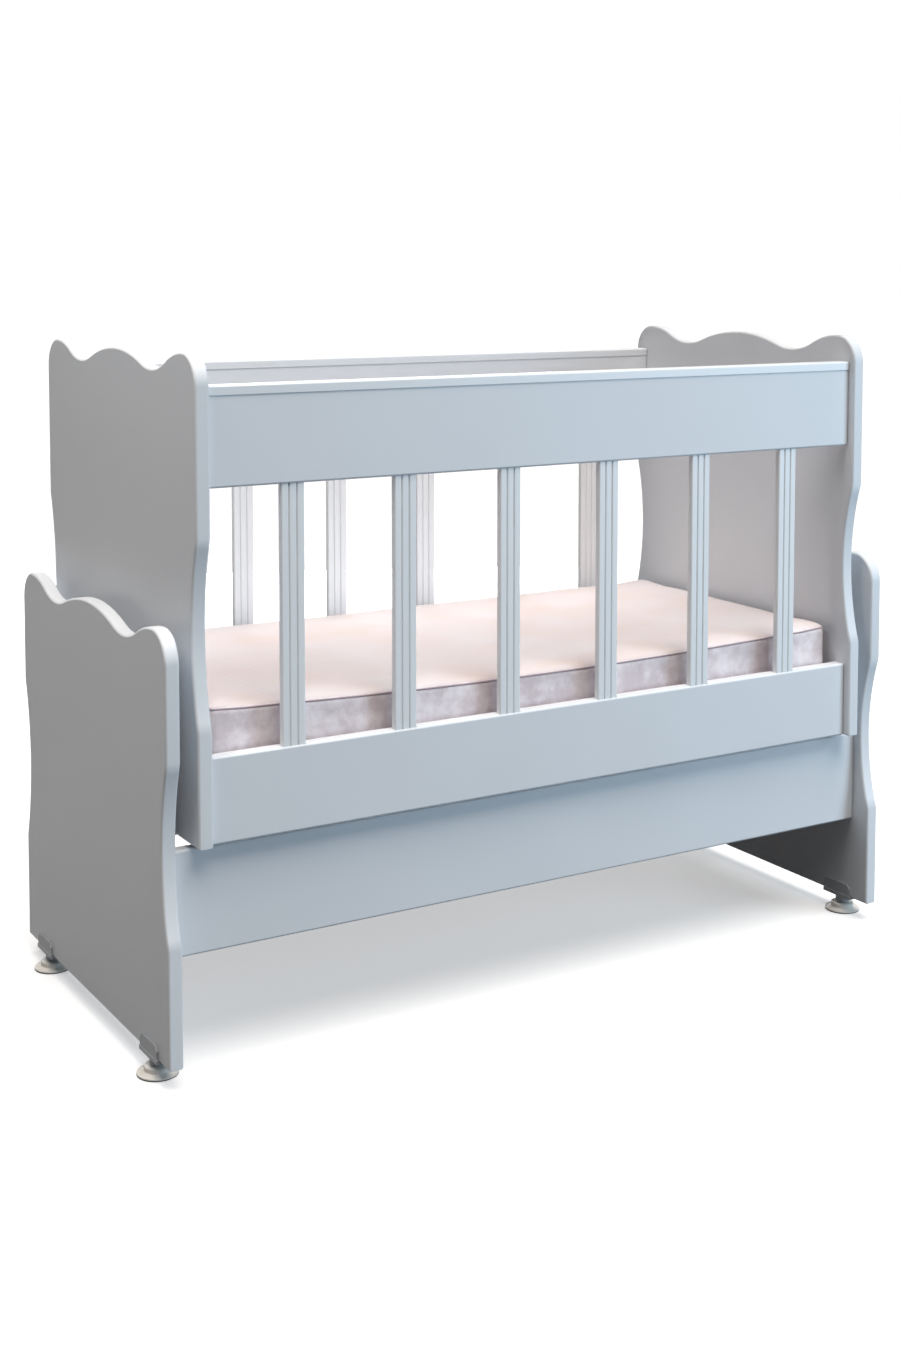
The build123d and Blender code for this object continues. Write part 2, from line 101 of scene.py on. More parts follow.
class CradleSizes(bpy.types.PropertyGroup):
    """Sizes that the CAD frame leaves open."""

    board_round: length("Board rounding", 0.83, "Rounding of both edges of a board's bevel")
    reed_round: length("Reed rounding", 0.6, "Rounding of a slat's reeds")
    groove_sink: length("Groove sink", 0.8, "How much deeper the grooves between reeds are cut")
    wood_round: length("Bare wood rounding", 1.2, "Broken edges of the base slats and battens")
    metal_round: length("Metal rounding", 0.4, "Tumbled edges of plates and links")
    plastic_round: length("Plastic rounding", 0.5, "Moulded edges of the clips")
    voxel: length("Mattress voxel", 6, "Mesh size of the mattress before it is simulated")
    swell_limit: length("Swell limit", 4, "How far the filling may push the cover")
    corner: length("Mattress corner", 11, "Corner radius of the mattress seen from above")
    sag: length("Front sag", 12, "Dip of the mattress's front edge in the middle of its length")
    rear_sag: length("Rear sag", 1, "Dip of the mattress's rear edge in the middle of its length")
    shrink: length("Foam shrink", 1, "How much smaller the foam is before it is filled")
    seam_drop: length("Seam drop", 4, "Height of the mattress's faces over its seams")
    piping: length("Piping radius", 1.1, "Radius of the cord sewn into the seams")
    fold: length("Fold height", 3.6, "Height of the folds in the border")
    foam_round: length("Foam rounding", 5, "Broken edges of the foam before it is filled")
    # Height of the dark matt band round the bottom of a foot
    foot_dark_base: length("Foot pad", 1.4, "Thickness of the soft pad under a foot")
    foot_rim: length("Foot rim", 3, "Height of a foot's rim")
    foot_dish: length("Foot dish", 2, "Rise of a foot's disc from its rim to its hub")
    foot_hub: length("Foot hub", 16, "Radius of a foot's hub")
    foot_hub_height: length("Foot hub height", 6.7, "Height of a foot's hub")
    foot_stem: length("Foot stem", 4, "Radius of a foot's screw")
    plate_width: length("Plate width", 36, "Width of a pivot plate")
    plate_thickness: length("Plate thickness", 3, "Thickness of a pivot plate")
    screw_spacing: length("Screw spacing", 50, "Distance between the two screws of a plate")
    screw_head: length("Screw head", 4.2, "Radius of the wood screws' heads")


class CradleColours(bpy.types.PropertyGroup):
    """Colours of the finishes."""

    foil: colour("Foil", "E4E7EB", "Foil on the boards")
    lacquer: colour("Lacquer", "ECEEF0", "Lacquer on the slats")
    edging: colour("Edging", "E6E9EC", "Plastic caps on the top rails")
    ticking: colour("Ticking", "E4DBDC", "Top of the mattress")
    # Painted warm light: the warmer clouds in the mattress's top stand in for warm light falling on
    # it
    ticking_painted_warm_light: colour("Ticking shade", "E2D2CE", "Warmer clouds in the top of the mattress")
    print_ground: colour("Print ground", "D6C8CB", "Ground of the printed border")
    print_light: colour("Print light", "EEE5E8", "Light flecks of the printed border")
    piping: colour("Piping", "A8979C", "Cord in the mattress's seams")
    beech: colour("Beech", "D3B48C", "Bare wood under the mattress")
    clip: colour("Clip", "9A9DA1", "Clips that hold the feet")
    foot: colour("Foot", "E3DFD8", "Discs of the feet")


def sizes():
    return bpy.context.scene.cradle_sizes


def colours():
    return bpy.context.scene.cradle_colours


# Selection and finishing of pieces


def only(*pieces):
    """Selects these objects alone and makes the last one active."""
    bpy.ops.object.select_all(action="DESELECT")
    for piece in pieces:
        piece.select_set(True)
    bpy.context.view_layer.objects.active = pieces[-1]


def edit(piece, select="FACE"):
    """Opens a piece in edit mode with nothing selected."""
    only(piece)
    bpy.ops.object.mode_set(mode="EDIT")
    bpy.ops.mesh.select_mode(type=select)
    bpy.ops.mesh.select_all(action="DESELECT")


def leave():
    bpy.ops.object.mode_set(mode="OBJECT")


def pick_faces(piece, wanted):
    """Selects the faces for which wanted is true, and no others."""
    mesh = bmesh.from_edit_mesh(piece.data)
    for face in mesh.faces:
        face.select_set(wanted(face))
    mesh.select_flush_mode()
    bmesh.update_edit_mesh(piece.data)


def pick_edges(piece, wanted):
    """Selects the edges for which wanted is true, and no others."""
    mesh = bmesh.from_edit_mesh(piece.data)
    for edge in mesh.edges:
        edge.select_set(wanted(edge))
    bmesh.update_edit_mesh(piece.data)


def modify(piece, kind, **settings):
    """Adds a modifier and applies it."""
    only(piece)
    modifier = piece.modifiers.new(kind.title(), kind)
    for name, value in settings.items():
        setattr(modifier, name, value)
    bpy.ops.object.modifier_apply(modifier=modifier.name)


def smooth(piece, degrees=40):
    """Smooth shading that keeps flat faces flat."""
    only(piece)
    bpy.ops.object.shade_smooth_by_angle(angle=math.radians(degrees))
    modify(piece, "WEIGHTED_NORMAL", keep_sharp=True)


def copied(node):
    """A piece with the shape of a CAD node, its triangles merged into plain faces."""
    only(NODES[node])
    bpy.ops.object.duplicate()
    piece = bpy.context.active_object
    bpy.ops.object.parent_clear(type="CLEAR_KEEP_TRANSFORM")
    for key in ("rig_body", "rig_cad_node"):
        del piece[key]
    piece.data.materials.clear()
    edit(piece)
    bpy.ops.mesh.select_all(action="SELECT")
    bpy.ops.mesh.remove_doubles(threshold=0.001 * MM)
    bpy.ops.mesh.dissolve_limited(angle_limit=math.radians(0.5))
    leave()
    return piece


def finish(piece, name, body, slot, *nodes):
    """Gives a piece its name, puts its place in its mesh and ties it to the frame."""
    only(piece)
    bpy.ops.object.transform_apply(location=True, rotation=True, scale=True)
    piece.name = name
    piece.data.name = name
    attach(piece, body)
    if nodes:
        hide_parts(*nodes)
    return piece


def repeated(master, places):
    """Copies of a master shape at (location, turn about Z) places, joined into one piece."""
    copies = []
    for location, turn in places:
        only(master)
        bpy.ops.object.duplicate()
        copy = bpy.context.active_object
        copy.location = location
        copy.rotation_euler = (0, 0, turn)
        bpy.ops.object.transform_apply(location=True, rotation=True, scale=True)
        copies.append(copy)
    bpy.data.objects.remove(master)
    only(*copies)
    bpy.ops.object.join()
    return bpy.context.active_object


def paint(piece, *materials):
    """Puts materials in a piece's slots."""
    piece.data.materials.clear()
    for material in materials:
        piece.data.materials.append(material)


# Materials


def scale(millimetres):
    """Texture scale that makes one cell of a pattern this long."""
    return 1 / (millimetres * MM)


def add(tree, kind, settings=None, **inputs):
    """Adds a shader node; an input is a value or the socket of another node."""
    made = tree.nodes.new(kind)
    for name, value in (settings or {}).items():
        setattr(made, name, value)
    for name, value in inputs.items():
        socket = made.inputs[int(name[1:]) if name[1:].isdigit() else name.replace("_", " ")]
        if isinstance(value, bpy.types.NodeSocket):
            tree.links.new(value, socket)
        else:
            socket.default_value = value
    return made


def new_material(name, **surface):
    """A material with these plain settings, its tree and its shader."""
    material = bpy.data.materials.new(name)
    material.use_nodes = True
    tree = material.node_tree
    shader = tree.nodes["Principled BSDF"]
    for socket, value in surface.items():
        shader.inputs[socket.replace("_", " ")].default_value = value
    return material, tree, shader


def place(tree):
    return add(tree, "ShaderNodeTexCoord").outputs["Object"]


def speckle(tree, millimetres, detail=2.0, vector=None, roughness=0.5):
    """Even noise with cells of this size."""
    made = add(
        tree,
        "ShaderNodeTexNoise",
        Vector=vector or place(tree),
        Scale=scale(millimetres),
        Detail=detail,
        Roughness=roughness,
    )
    return made.outputs["Fac"]


def calculate(tree, operation, first, second):
    """Result of one sum on sockets or plain numbers."""
    return add(tree, "ShaderNodeMath", {"operation": operation}, _0=first, _1=second).outputs[0]


def tint(tree, factor, first, second, low=0.3, high=0.7):
    """Colour that runs from first to second as the factor goes from low to high."""
    ranged = add(tree, "ShaderNodeMapRange", Value=factor, From_Min=low, From_Max=high)
    mixed = add(
        tree,
        "ShaderNodeMix",
        {"data_type": "RGBA"},
        _0=ranged.outputs[0],
        _6=(*first, 1),
        _7=(*second, 1),
    )
    return mixed.outputs[2]


def shade(colour_value, share):
    """A colour made darker or lighter by a share."""
    return [min(1.0, c * share) for c in colour_value]


def bump(tree, shader, height, millimetres, strength=1.0):
    """Relief of this height in millimetres."""
    made = add(tree, "ShaderNodeBump", Height=height, Distance=millimetres * MM, Strength=strength)
    tree.links.new(made.outputs["Normal"], shader.inputs["Normal"])


def rough(tree, shader, factor, low, high):
    """Roughness that runs from low to high with a factor."""
    ranged = add(tree, "ShaderNodeMapRange", Value=factor, To_Min=low, To_Max=high)
    tree.links.new(ranged.outputs[0], shader.inputs["Roughness"])


def melamine_foil():
    """Melamine foil pressed on fibreboard: smooth satin white with a faint orange peel."""
    base = colours().foil
    material, tree, shader = new_material("melamine_foil_pressed", IOR=1.5, Specular_IOR_Level=0.28)
    cloud = speckle(tree, 140)
    mixed = tint(tree, cloud, shade(base, 0.985), shade(base, 1.01))
    tree.links.new(mixed, shader.inputs["Base Color"])
    rough(tree, shader, cloud, 0.4, 0.48)
    bump(tree, shader, speckle(tree, 2.5), 0.02)
    return material


def slat_lacquer():
    """Acrylic lacquer sprayed on beech: satin white in which a little long grain shows."""
    base = colours().lacquer
    material, tree, shader = new_material("acrylic_lacquer_sprayed", IOR=1.5)
    stretched = add(tree, "ShaderNodeMapping", Vector=place(tree), Scale=(1, 1, 0.06)).outputs[0]
    grain = speckle(tree, 1.6, 3, stretched)
    tree.links.new(tint(tree, grain, shade(base, 0.985), base), shader.inputs["Base Color"])
    rough(tree, shader, grain, 0.36, 0.46)
    bump(tree, shader, grain, 0.04)
    return material


def pvc_edging():
    """PVC drawn through a die: a smooth cap with faint lines along its length."""
    base = colours().edging
    material, tree, shader = new_material("pvc_extruded", IOR=1.53)
    stretched = add(tree, "ShaderNodeMapping", Vector=place(tree), Scale=(0.01, 1, 1)).outputs[0]
    lines = speckle(tree, 1.5, 1, stretched)
    tree.links.new(tint(tree, lines, shade(base, 0.99), base), shader.inputs["Base Color"])
    rough(tree, shader, lines, 0.33, 0.4)
    bump(tree, shader, lines, 0.015)
    return material


def weave(tree, millimetres):
    """Height of a plain weave, drawn on any face of a block."""
    position = place(tree)
    waves = []
    for direction in "XYZ":
        settings = {"wave_type": "BANDS", "bands_direction": direction}
        size = scale(millimetres) / 20
        wave = add(tree, "ShaderNodeTexWave", settings, Vector=position, Scale=size)
        waves.append(wave.outputs["Fac"])
    return calculate(tree, "ADD", calculate(tree, "ADD", waves[0], waves[1]), waves[2])


def seam_level(tree, position, low, high):
    """Height of the upper seam at each place, by the same rule as the dip of the mattress's top."""
    axes = add(tree, "ShaderNodeSeparateXYZ", Vector=position).outputs
    across = calculate(tree, "MULTIPLY", axes["X"], 2 / (high.x - low.x))
    along = calculate(tree, "SUBTRACT", 1, calculate(tree, "MULTIPLY", across, across))
    slope = (sizes().sag - sizes().rear_sag) / (high.y - low.y)
    fall = calculate(tree, "MULTIPLY", axes["Y"], -slope)
    depth = calculate(tree, "ADD", fall, sizes().rear_sag + slope * high.y)
    lowered = calculate(tree, "MULTIPLY", along, depth)
    return axes["Z"], calculate(tree, "SUBTRACT", high.z - sizes().seam_drop, lowered)


def cotton_cover(low, high):
    """Woven cotton: cream ticking on top with warmer clouds of painted warm light, and pale mauve
    flecks printed on the border.
    """
    palette = colours()
    material, tree, shader = new_material("cotton_woven_printed", Roughness=0.85, Sheen_Weight=0.25)
    position = place(tree)
    flecks = speckle(tree, 16, 3, roughness=0.6)
    clouds = speckle(tree, 70, 2)
    both = calculate(tree, "ADD", flecks, clouds)
    border = tint(tree, both, palette.print_ground, palette.print_light, 0.85, 1.2)
    # Painted warm light: random warmer clouds on the top stand in for warm light falling on it
    top = tint(tree, speckle(tree, 120, 2), palette.ticking_painted_warm_light, palette.ticking, 0.35, 0.65)
    height, seam = seam_level(tree, position, low, high)
    above = calculate(tree, "GREATER_THAN", height, seam)
    mixed = add(tree, "ShaderNodeMix", {"data_type": "RGBA"}, _0=above, _6=border, _7=top)
    tree.links.new(mixed.outputs[2], shader.inputs["Base Color"])
    # Threads lie about 0.4 mm apart; they are drawn at 1.6 mm so that they show
    bump(tree, shader, weave(tree, 1.6), 0.12, 0.5)
    return material


def piping_cotton():
    """Cotton tape sewn round a cord: matt, with a slight twist."""
    base = colours().piping
    material, tree, shader = new_material("cotton_piping_sewn", Roughness=0.9, Sheen_Weight=0.2)
    twist = speckle(tree, 2.0, 1)
    tree.links.new(tint(tree, twist, shade(base, 0.9), base), shader.inputs["Base Color"])
    bump(tree, shader, twist, 0.1)
    return material


def beech(name, direction):
    """Planed beech, unfinished: pale brown with fine short flecks along the grain."""
    base = colours().beech
    material, tree, shader = new_material(name, IOR=1.45)
    stretch = tuple(0.05 if axis == direction else 1 for axis in "XYZ")
    grain_place = add(tree, "ShaderNodeMapping", Vector=place(tree), Scale=stretch).outputs[0]
    grain = speckle(tree, 3, 5, grain_place)
    rings = speckle(tree, 22, 2, grain_place)
    both = calculate(tree, "ADD", grain, rings)
    tree.links.new(tint(tree, both, shade(base, 0.8), base, 0.8, 1.15), shader.inputs["Base Color"])
    rough(tree, shader, grain, 0.55, 0.7)
    bump(tree, shader, grain, 0.08)
    return material


def moulded_plastic(name, base):
    """Polypropylene from a spark-eroded mould: a fine even grain and a dull shine."""
    material, tree, shader = new_material(name, IOR=1.49)
    grit = speckle(tree, 0.9, 2)
    cloud = speckle(tree, 25)
    tree.links.new(tint(tree, cloud, shade(base, 0.97), base), shader.inputs["Base Color"])
    rough(tree, shader, grit, 0.42, 0.55)
    bump(tree, shader, grit, 0.03)
    return material


def darkened_foot_base():
    """Dark matt finish with fine pores for the lowest part of a foot."""
    material, tree, shader = new_material("dark_matt_band_under_foot", Roughness=0.9)
    pores = speckle(tree, 0.8, 2)
    dark = tint(tree, pores, linear("1C1C1D"), linear("3A3A3B"))
    tree.links.new(dark, shader.inputs["Base Color"])
    bump(tree, shader, pores, 0.1)
    return material


def metal(name, value, low, high, grain, relief, stretch=(1, 1, 1)):
    """Bare or plated metal whose finish varies with a grain of this size in millimetres."""
    material, tree, shader = new_material(name, Metallic=1)
    base = linear(value)
    source = add(tree, "ShaderNodeMapping", Vector=place(tree), Scale=stretch).outputs[0]
    marks = speckle(tree, grain, 3, source)
    tree.links.new(tint(tree, marks, shade(base, 0.9), base), shader.inputs["Base Color"])
    rough(tree, shader, marks, low, high)
    bump(tree, shader, marks, relief)
    return material


def nitrile_seal():
    """Nitrile rubber moulded into a bearing's seal: dark brown-black with a soft shine."""
    material, tree, shader = new_material("nitrile_rubber_moulded", Roughness=0.5)
    grit = speckle(tree, 0.6, 1)
    dark = tint(tree, grit, linear("171615"), linear("262422"))
    tree.links.new(dark, shader.inputs["Base Color"])
    bump(tree, shader, grit, 0.02)
    return material


# Boards

# Just over the width of the bevel that the CAD boards have along their edges
BEVEL_REACH = 2.1 * MM


def round_board(node, body, thin_axis, material):
    """Rounds a board's bevels and corners; thin_axis is 0 for an end board, 1 for a rail."""
    low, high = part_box(node)
    piece = copied(node)

    def near_face(vertex):
        place = vertex.co[thin_axis]
        return min(place - low[thin_axis], high[thin_axis] - place) < BEVEL_REACH

    def on_bevel(edge):
        turn = math.degrees(edge.calc_face_angle(0))
        run = (edge.verts[0].co - edge.verts[1].co).normalized()
        across_edge = abs(run[thin_axis]) > 0.99
        return turn > 30 and (turn < 75 or across_edge) and all(map(near_face, edge.verts))

    edit(piece, "EDGE")
    pick_edges(piece, on_bevel)
    bpy.ops.mesh.bevel(offset=sizes().board_round, segments=2, affect="EDGES", clamp_overlap=False)
    leave()
    smooth(piece)
    paint(piece, material)
    return finish(piece, f"{node}_rounded", body, "white_board", node)


class CRADLE_OT_boards(bpy.types.Operator):
    """Rounds the end boards, rails and stretchers and gives them their foil"""

    bl_idname = "cradle.boards"
    bl_label = "Boards"

    def execute(self, context):
        foil = melamine_foil()
        for end in ENDS:
            round_board(f"stand_end_{end}", "stand", 0, foil)
            round_board(f"cradle_end_{end}", "cradle", 0, foil)
        for side in SIDES:
            round_board(f"stretcher_{side}", "stand", 1, foil)
            round_board(f"top_rail_{side}", "cradle", 1, foil)
            round_board(f"bottom_rail_{side}", "cradle", 1, foil)
        return {"FINISHED"}


def ease(node, body, slot, material, width, segments=2):
    """Breaks every sharp edge of a CAD node by the same width."""
    piece = copied(node)
    limit = {"limit_method": "ANGLE", "angle_limit": math.radians(35)}
    modify(piece, "BEVEL", width=width, segments=segments, **limit)
    smooth(piece)
    paint(piece, material)
    return finish(piece, f"{node}_eased", body, slot, node)


class CRADLE_OT_rail_caps(bpy.types.Operator):
    """Rounds the plastic caps over the top rails"""

    bl_idname = "cradle.rail_caps"
    bl_label = "Rail caps"

    def execute(self, context):
        edging = pvc_edging()
        for side in SIDES:
            ease(f"rail_cap_{side}", "cradle", "edge_cap", edging, 0.3 * MM)
        return {"FINISHED"}


class CRADLE_OT_slats(bpy.types.Operator):
    """Rounds the reeds of the slats"""

    bl_idname = "cradle.slats"
    bl_label = "Slats"

    def execute(self, context):
        lacquer = slat_lacquer()
        count = sum(name.startswith("slat_front") for name in NODES)
        for side in SIDES:
            for number in range(1, count + 1):
                self.round_reeds(f"slat_{side}_{number}", lacquer)
        return {"FINISHED"}

    def round_reeds(self, node, lacquer):
        piece = copied(node)
        middle = sum(corner.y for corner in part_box(node)) / 2

        def upright(edge):
            run = (edge.verts[0].co - edge.verts[1].co).normalized()
            return abs(run.z) > 0.99 and edge.calc_face_angle(0) > 0.3

        def groove(edge, face):
            return upright(edge) and not edge.is_convex and (edge.verts[0].co.y - middle) * face > 0

        def shoulder(edge):
            return upright(edge) and edge.is_convex

        edit(piece, "EDGE")
        for face in (-1, 1):
            pick_edges(piece, lambda edge: groove(edge, face))
            bpy.ops.transform.translate(value=(0, -face * sizes().groove_sink, 0))
        pick_edges(piece, shoulder)
        rounding = sizes().reed_round
        bpy.ops.mesh.bevel(offset=rounding, segments=3, affect="EDGES", clamp_overlap=True)
        leave()
        smooth(piece, 50)
        paint(piece, lacquer)
        finish(piece, f"{node}_reeded", "cradle", "white_slat", node)


# Mattress

# Parts that a seam has between two corners, so that it can follow the dip
SEAM_PARTS = 24


def dip(co, low, high):
    """How far the mattress's top lies under its corners, most along the front edge."""
    along = 1 - ((2 * co.x - low.x - high.x) / (high.x - low.x)) ** 2
    towards_front = (high.y - co.y) / (high.y - low.y)
    return max(0.0, along) * (sizes().rear_sag + (sizes().sag - sizes().rear_sag) * towards_front)


def stuffed_block(low, high):
    """Box of foam with rounded corners and a dip in its top, ready to be filled."""
    size = high - low
    shrink = sizes().shrink
    bpy.ops.mesh.primitive_cube_add(size=1, location=(low + high) / 2)
    piece = bpy.context.active_object
    piece.scale = size - Vector((2 * shrink,) * 3)
    bpy.ops.object.transform_apply(location=True, rotation=False, scale=True)
    edit(piece, "EDGE")
    pick_edges(piece, lambda edge: abs(edge.verts[0].co.z - edge.verts[1].co.z) > size.z / 2)
    bpy.ops.mesh.bevel(offset=sizes().corner, segments=5, affect="EDGES")
    pick_edges(piece, lambda edge: abs(edge.verts[0].co.z - edge.verts[1].co.z) < MM)
    bpy.ops.mesh.bevel(offset=sizes().foam_round, segments=3, affect="EDGES")
    leave()
    modify(piece, "REMESH", mode="VOXEL", voxel_size=sizes().voxel)
    for vertex in piece.data.vertices:
        vertex.co.z -= (vertex.co.z - low.z) / size.z * dip(vertex.co, low, high)
    return piece


def fill(piece):
    """Cloth simulation: the filling presses the cover out, and no point may go far."""
    before = [vertex.co.copy() for vertex in piece.data.vertices]
    only(piece)
    cloth = piece.modifiers.new("Cloth", "CLOTH")
    cloth.settings.quality = 5
    cloth.settings.use_pressure = True
    cloth.settings.uniform_pressure_force = 4
    cloth.settings.effector_weights.gravity = 0
    for step in range(1, 21):
        bpy.context.scene.frame_set(step)
    bpy.ops.object.modifier_apply(modifier=cloth.name)
    bpy.context.scene.frame_set(1)
    limit = sizes().swell_limit
    for vertex, start in zip(piece.data.vertices, before):
        moved = vertex.co - start
        if moved.length > limit:
            vertex.co = start + moved.normalized() * limit


def fold_border(piece, low, high):
    """Loose vertical folds in the border that fade out towards the top seam and the bottom, and a
    slight wave in the top that fades towards its ends.
    """
    half = (high.x - low.x) / 2
    depth = sizes().fold
    seam = high.z - sizes().seam_drop
    normals = [vertex.normal.copy() for vertex in piece.data.vertices]
    for vertex, normal in zip(piece.data.vertices, normals):
        co = vertex.co
        side = 1 - abs(normal.z)
        top = seam - dip(co, low, high)
        middle = max(0.0, min(1.0, min(top - co.z, co.z - low.z) / (25 * MM)))
        across = Vector((co.x * 9, co.y * 9, co.z * 5))
        across.x += co.z * 4
        lift = noise.noise(across) + 0.5 * noise.noise(across * 2.3)
        co += normal * (lift * depth * side * middle)
        wave = noise.noise(Vector((co.x * 5, co.y * 6, 3)))
        edge = min(1.0, (half - abs(co.x)) / (60 * MM)) if normal.z > 0.7 else 0
        co.z += wave * 1.5 * MM * edge


def seam_route(low, high, inset, height_of):
    """Points round the mattress just inside its outline, from corner to corner."""
    radius = sizes().corner - inset
    centre_x = (high.x - low.x) / 2 - inset - radius
    centre_y = (high.y - low.y) / 2 - inset - radius
    outline = []
    for sign_x, sign_y, first in ((1, 1, 0), (-1, 1, 90), (-1, -1, 180), (1, -1, 270)):
        centre = Vector((sign_x * centre_x, sign_y * centre_y, 0))
        for angle in range(first, first + 91, 15):
            turn = math.radians(angle)
            outline.append(centre + radius * Vector((math.cos(turn), math.sin(turn), 0)))
    route = []
    for index, point in enumerate(outline):
        following = outline[(index + 1) % len(outline)]
        parts = SEAM_PARTS if (following - point).length > 50 * MM else 1
        route += [point.lerp(following, part / parts) for part in range(parts)]
    for point in route:
        point.z = height_of(point)
    return route


def piping(cover, route, name):
    """Round cord along a route, laid on the cover."""
    tree = BVHTree.FromObject(cover, bpy.context.evaluated_depsgraph_get())
    bpy.ops.curve.primitive_bezier_circle_add()
    curve = bpy.context.active_object
    curve.data.splines.clear()
    spline = curve.data.splines.new("POLY")
    spline.points.add(len(route) - 1)
    spline.use_cyclic_u = True
    for point, target in zip(spline.points, route):
        nearest, normal, _, _ = tree.find_nearest(target)
        point.co = (*(nearest + normal * 0.3 * MM), 1)
    curve.data.bevel_depth = sizes().piping
    curve.data.bevel_resolution = 3
    only(curve)
    bpy.ops.object.convert(target="MESH")
    piece = bpy.context.active_object
    only(piece)
    bpy.ops.object.shade_smooth()
    paint(piece, piping_cotton())
    return finish(piece, name, "cradle", "mattress_cover")


class CRADLE_OT_mattress(bpy.types.Operator):
    """Fills the mattress's cover and pipes its seams"""

    bl_idname = "cradle.mattress"
    bl_label = "Mattress"

    def execute(self, context):
        low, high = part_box("mattress")
        piece = stuffed_block(low, high)
        fill(piece)
        fold_border(piece, low, high)
        modify(piece, "SMOOTH", factor=0.5, iterations=2)
        modify(piece, "SUBSURF", levels=1, render_levels=1)
        only(piece)
        bpy.ops.object.shade_smooth()
        drop = sizes().seam_drop
        paint(piece, cotton_cover(low, high))
        finish(piece, "mattress_cover", "cradle", "mattress_cover", "mattress")
        inset = 2 * MM
        top = seam_route(low, high, inset, lambda point: high.z - drop - dip(point, low, high))
        bottom = seam_route(low, high, inset, lambda point: low.z + drop)
        piping(piece, top, "mattress_piping_top")
        piping(piece, bottom, "mattress_piping_bottom")
        return {"FINISHED"}


class CRADLE_OT_base(bpy.types.Operator):
    """Base slats, battens and cleats under the mattress, and the rails' dowels"""

    bl_idname = "cradle.base"
    bl_label = "Base"

    def execute(self, context):
        across = beech("beech_planed_across", "Y")
        along = beech("beech_planed_along", "X")
        ease("base_slats", "cradle", "bare_wood", across, sizes().wood_round)
        for node in ("base_battens", "cleat_front", "cleat_rear"):
            ease(node, "cradle", "bare_wood", along, sizes().wood_round)
        for node in ("stand_dowels", "cradle_dowels"):
            paint(NODES[node], along)
        return {"FINISHED"}


# Swing gear and fittings

# Rings on a bearing's face from its edge inwards, as width and step up in millimetres: rounded
# edge, outer ring, step down, seal, step up, inner ring
BEARING_RINGS = ((0.5, 0), (1.3, 0), (0.1, -0.5), (2.6, 0), (0.1, 0.5), (1.8, 0))


class CRADLE_OT_links(bpy.types.Operator):
    """Hanger links and the ball bearings in their eyes"""

    bl_idname = "cradle.links"
    bl_label = "Links"

    def execute(self, context):
        alloy = metal("aluminium_tumbled", "B9BCC0", 0.32, 0.5, 1.5, 0.02)
        for side in SIDES:
            for end in ENDS:
                node = f"hanger_link_{side}_{end}"
                ease(node, f"links_{side}", "link_alloy", alloy, sizes().metal_round)
            self.bearings(side)
        return {"FINISHED"}

    def bearings(self, side):
        node = f"bearings_{side}"
        link_low, link_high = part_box(f"hanger_link_{side}_right")
        centre_x = (link_low.x + link_high.x) / 2
        eye = (link_high.y - link_low.y) / 2
        low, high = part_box(node)
        radius = (high.y - low.y) / 2
        width = link_high.x - link_low.x
        bpy.ops.mesh.primitive_cylinder_add(vertices=48, radius=radius, depth=width)
        master = bpy.context.active_object
        edit(master)
        pick_faces(master, lambda face: abs(face.normal.z) > 0.9)
        for ring, step in BEARING_RINGS:
            bpy.ops.mesh.inset(
                thickness=ring * MM, depth=step * MM, use_even_offset=False, use_individual=True
            )
        bpy.ops.mesh.bridge_edge_loops()
        leave()
        steel = metal("bearing_steel_ground", "C6C8CC", 0.15, 0.28, 0.8, 0.005)
        paint(master, steel, nitrile_seal())
        for face in master.data.polygons:
            reach = face.center.xy.length
            sunk = abs(face.center.z) < width / 2 - 0.4 * MM
            if abs(face.normal.z) > 0.9 and sunk and reach > 0.5 * radius:
                face.material_index = 1
        smooth(master)
        master.rotation_euler = (0, math.pi / 2, 0)
        only(master)
        bpy.ops.object.transform_apply(rotation=True)
        y = (link_low.y + link_high.y) / 2
        heights = (link_low.z + eye, link_high.z - eye)
        places = [((sign * centre_x, y, z), 0) for sign in ENDS.values() for z in heights]
        piece = repeated(master, places)
        finish(piece, f"ball_bearings_{side}", f"links_{side}", "bearing_steel", node)


def screw_master(radius):
    """Pan head with a cross recess; its seat is at the origin and its top points along +X."""
    height = 2.4 * MM
    middle = (0, 0, height / 2)
    bpy.ops.mesh.primitive_cylinder_add(vertices=24, radius=radius, depth=height, location=middle)
    head = bpy.context.active_object
    edit(head, "EDGE")
    pick_edges(head, lambda edge: all(vertex.co.z > 0.5 * MM for vertex in edge.verts))
    bpy.ops.mesh.bevel(offset=height / 2, segments=4, affect="EDGES")
    leave()
    for turn in (0, math.pi / 2):
        bpy.ops.mesh.primitive_cube_add(size=1, location=(0, 0, height), rotation=(0, 0, turn))
        blade = bpy.context.active_object
        blade.scale = (1.1 * radius, 0.9 * MM, 2.6 * MM)
        modify(head, "BOOLEAN", operation="DIFFERENCE", object=blade)
        bpy.data.objects.remove(blade)
    only(head)
    head.rotation_euler = (0, math.pi / 2, 0)
    bpy.ops.object.transform_apply(location=True, rotation=True, scale=True)
    smooth(head, 30)
    return head


